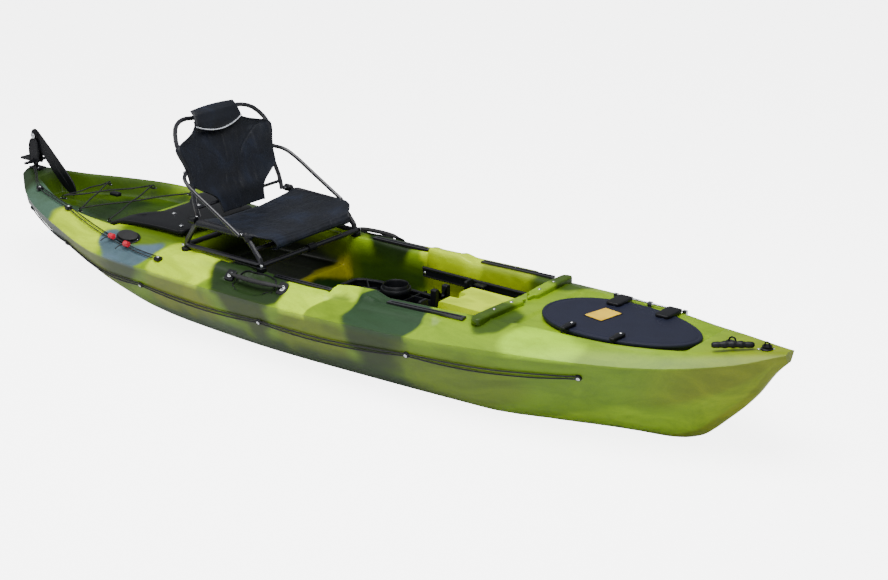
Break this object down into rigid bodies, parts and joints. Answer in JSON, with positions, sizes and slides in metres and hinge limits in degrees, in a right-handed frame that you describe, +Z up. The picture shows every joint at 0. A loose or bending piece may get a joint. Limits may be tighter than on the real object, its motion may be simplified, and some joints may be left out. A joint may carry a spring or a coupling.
{
  "type": "fishing kayak",
  "caption": "Sit-on-top fishing kayak with a folding framed seat, flip-up foot-steered rudder, front hatch, cup console, rod holders and deck lines.",
  "frame": {"origin": "on the flat keel strip, amidships of the hull, on the centreline", "axes": "+X to the bow, +Y to port, +Z up"},
  "size_m": [3.71, 0.8718, 0.8172],
  "materials": {
    "rotomoulded_polyethylene": "rotomoulded HDPE, marbled lime, dark green and slate, satin gloss",
    "moulded_lid_plastic": "satin moulded plastic with a fine grain",
    "black_nylon": "satin glass-filled nylon",
    "powder_coated_aluminium": "black powder coat",
    "coated_mesh_fabric": "navy-black coated mesh, stretched",
    "black_rubber": "matt",
    "braided_cord": "braided cord",
    "stainless_steel": "brushed",
    "red_plastic": "gloss",
    "yellow_plate": "satin print, blank"
  },
  "bodies": {
    "hull": {"bow_strap_eye": "black_nylon", "bow_tip_eye": "black_nylon", "bungee_lock": "black_nylon", "console_bracket": "black_nylon", "console_tray": "black_nylon", "foot_rail_port": "black_nylon", "foot_rail_starboard": "black_nylon", "front_hatch_rim": "black_nylon", "gear_track_aft_port": "powder_coated_aluminium", "gear_track_aft_starboard": "powder_coated_aluminium", "gear_track_fore_port": "powder_coated_aluminium", "gear_track_fore_starboard": "powder_coated_aluminium", "hatch_catch_aft": "black_nylon", "hatch_catch_fore": "black_nylon", "hatch_hinge_bar": "stainless_steel", "hull": "rotomoulded_polyethylene", "line_eye_aft": "black_nylon", "line_eye_fore": "black_nylon", "line_eye_mid": "black_nylon", "rear_cover": "black_nylon", "rod_holder_port": "black_nylon", "rod_holder_starboard": "black_nylon", "rudder_bracket": "black_nylon", "rudder_hoist_line": "braided_cord", "rudder_steer_pin": "stainless_steel", "safety_line_port": "braided_cord", "safety_line_starboard": "braided_cord", "seat_base_frame": "powder_coated_aluminium", "seat_front_clamp": "black_nylon", "seat_hinge_pin_port": "stainless_steel", "seat_hinge_pin_starboard": "stainless_steel", "seat_sling": "coated_mesh_fabric", "side_handle_port": "black_rubber", "side_handle_starboard": "black_rubber", "tankwell_bungee": "braided_cord"},
    "front_hatch_lid": {"front_hatch_lid": "moulded_lid_plastic", "hatch_lid_plate": "yellow_plate"},
    "hatch_latch_aft": {"hatch_latch_aft": "black_nylon"},
    "hatch_latch_fore": {"hatch_latch_fore": "black_nylon"},
    "console_cup": {"console_cup": "black_nylon"},
    "foot_carriage_port": {"foot_carriage_port": "black_nylon"},
    "foot_carriage_starboard": {"foot_carriage_starboard": "black_nylon"},
    "foot_pedal_port": {"foot_pedal_port": "black_nylon"},
    "foot_pedal_starboard": {"foot_pedal_starboard": "black_nylon"},
    "seat_back": {"seat_back_frame": "powder_coated_aluminium", "seat_back_sling": "coated_mesh_fabric", "seat_headrest": "coated_mesh_fabric"},
    "seat_strut_port": {"seat_strut_port": "powder_coated_aluminium"},
    "seat_strut_starboard": {"seat_strut_starboard": "powder_coated_aluminium"},
    "rudder_head": {"rudder_head": "black_nylon", "rudder_blade_bolt": "stainless_steel"},
    "rudder_blade": {"rudder_blade": "black_nylon"},
    "hoist_toggle_up": {"hoist_toggle_up": "red_plastic"},
    "hoist_toggle_down": {"hoist_toggle_down": "red_plastic"},
    "rod_holder_cap_port": {"rod_holder_cap_port": "black_rubber"},
    "rod_holder_cap_starboard": {"rod_holder_cap_starboard": "black_rubber"},
    "bow_grip": {"bow_grip": "black_nylon"},
    "drain_plug": {"drain_plug": "black_nylon"}
  },
  "joints": [
    {"name": "front_hatch_open", "type": "hinge", "parent": "hull", "child": "front_hatch_lid", "pos_m": [1.187, 0.197, 0.3575], "axis": [-1, 0, 0], "range_deg": [0, 110]},
    {"name": "hatch_latch_aft_turn", "type": "hinge", "parent": "front_hatch_lid", "child": "hatch_latch_aft", "pos_m": [1.075, -0.142, 0.3532], "axis": [0, 0, 1], "range_deg": [0, 90]},
    {"name": "hatch_latch_fore_turn", "type": "hinge", "parent": "front_hatch_lid", "child": "hatch_latch_fore", "pos_m": [1.262, -0.126, 0.3532], "axis": [0, 0, 1], "range_deg": [0, 90]},
    {"name": "console_cup_lift", "type": "slide", "parent": "hull", "child": "console_cup", "axis": [0, 0, 1], "range_m": [0, 0.13]},
    {"name": "foot_carriage_port_slide", "type": "slide", "parent": "hull", "child": "foot_carriage_port", "axis": [1, 0, 0], "range_m": [-0.2, 0.14]},
    {"name": "foot_pedal_port_push", "type": "hinge", "parent": "foot_carriage_port", "child": "foot_pedal_port", "pos_m": [0.432, 0.14, 0.259], "axis": [0, 1, 0], "range_deg": [-17, 17]},
    {"name": "foot_carriage_starboard_slide", "type": "slide", "parent": "hull", "child": "foot_carriage_starboard", "axis": [1, 0, 0], "range_m": [-0.2, 0.14]},
    {"name": "foot_pedal_starboard_push", "type": "hinge", "parent": "foot_carriage_starboard", "child": "foot_pedal_starboard", "pos_m": [0.432, -0.14, 0.259], "axis": [0, 1, 0], "range_deg": [-17, 17]},
    {"name": "seat_back_fold", "type": "hinge", "parent": "hull", "child": "seat_back", "pos_m": [-0.59, 0, 0.437], "axis": [0, 1, 0], "range_deg": [0, 75]},
    {"name": "seat_strut_port_swing", "type": "hinge", "parent": "seat_back", "child": "seat_strut_port", "pos_m": [-0.64, 0.292, 0.607], "axis": [0, 1, 0], "range_deg": [-75, 0]},
    {"name": "seat_strut_starboard_swing", "type": "hinge", "parent": "seat_back", "child": "seat_strut_starboard", "pos_m": [-0.64, -0.292, 0.607], "axis": [0, 1, 0], "range_deg": [-75, 0]},
    {"name": "rudder_steer", "type": "hinge", "parent": "hull", "child": "rudder_head", "pos_m": [-1.8, 0, 0.38806], "axis": [0, 0, 1], "range_deg": [-20, 20]},
    {"name": "rudder_lift", "type": "hinge", "parent": "rudder_head", "child": "rudder_blade", "pos_m": [-1.79, 0, 0.512], "axis": [0, -1, 0], "range_deg": [0, 265]},
    {"name": "hoist_toggle_up_slide", "type": "slide", "parent": "hull", "child": "hoist_toggle_up", "axis": [0.9896, -0.1155, -0.0856], "range_m": [0, 0.06]},
    {"name": "hoist_toggle_down_slide", "type": "slide", "parent": "hull", "child": "hoist_toggle_down", "axis": [-0.9896, 0.1155, 0.0856], "range_m": [0, 0.06]},
    {"name": "rod_holder_cap_port_open", "type": "hinge", "parent": "hull", "child": "rod_holder_cap_port", "pos_m": [-0.95143, 0.3154, 0.32412], "axis": [0, -1, 0], "range_deg": [0, 110]},
    {"name": "rod_holder_cap_starboard_open", "type": "hinge", "parent": "hull", "child": "rod_holder_cap_starboard", "pos_m": [-0.95143, -0.3154, 0.32412], "axis": [0, -1, 0], "range_deg": [0, 110]},
    {"name": "bow_grip_lift", "type": "hinge", "parent": "hull", "child": "bow_grip", "pos_m": [1.614, 0, 0.386], "axis": [-0.8346, -0.5508, 0], "range_deg": [0, 62]},
    {"name": "drain_plug_pull", "type": "slide", "parent": "hull", "child": "drain_plug", "axis": [-1, 0, 0], "range_m": [0, 0.04]}
  ],
  "couplings": [
    {"joint": "foot_pedal_port_push", "follows": "rudder_steer", "ratio": -0.8},
    {"joint": "foot_pedal_starboard_push", "follows": "rudder_steer", "ratio": 0.8},
    {"joint": "seat_strut_port_swing", "follows": "seat_back_fold", "ratio": -1},
    {"joint": "seat_strut_starboard_swing", "follows": "seat_back_fold", "ratio": -1},
    {"joint": "hoist_toggle_up_slide", "follows": "rudder_lift", "m_per_rad": 0.0125},
    {"joint": "hoist_toggle_down_slide", "follows": "rudder_lift", "m_per_rad": 0.0125}
  ]
}
